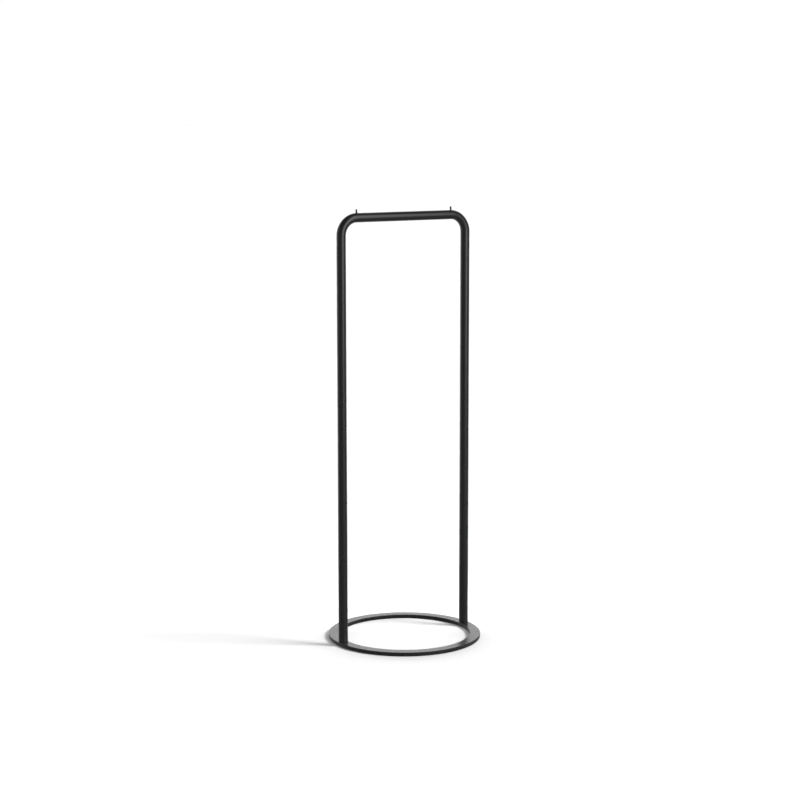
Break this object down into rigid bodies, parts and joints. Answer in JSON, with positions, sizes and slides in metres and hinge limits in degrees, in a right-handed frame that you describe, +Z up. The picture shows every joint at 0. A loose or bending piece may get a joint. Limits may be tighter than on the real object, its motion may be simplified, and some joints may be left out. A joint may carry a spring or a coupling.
{
  "type": "standing coat rack",
  "caption": "Standing coat rack: a slim tube bent into an upside-down U stands on a flat ring base, with small upright pins on its bar.",
  "frame": {"origin": "centre of the base ring, on the floor that the glides rest on", "axes": "+Z up; X along the hanging bar, with the left leg at -X and the right leg at +X; Y across the bar"},
  "size_m": [0.4999, 0.5, 1.412],
  "materials": {
    "black_powder_coat": "satin black powder coat",
    "plain_steel": "turned",
    "zinc_plated_steel": "zinc plated",
    "black_rubber": "matt"
  },
  "bodies": {
    "root": {"base_ring": "black_powder_coat", "frame_tube": "black_powder_coat", "hanger_pin_left": "black_powder_coat", "hanger_pin_right": "black_powder_coat", "leg_insert_left": "plain_steel", "leg_insert_right": "plain_steel", "leg_screw_left": "zinc_plated_steel", "leg_screw_right": "zinc_plated_steel", "floor_glide_1": "black_rubber", "floor_glide_2": "black_rubber", "floor_glide_3": "black_rubber", "floor_glide_4": "black_rubber", "floor_glide_5": "black_rubber", "floor_glide_6": "black_rubber", "floor_glide_7": "black_rubber", "floor_glide_8": "black_rubber"}
  },
  "joints": []
}
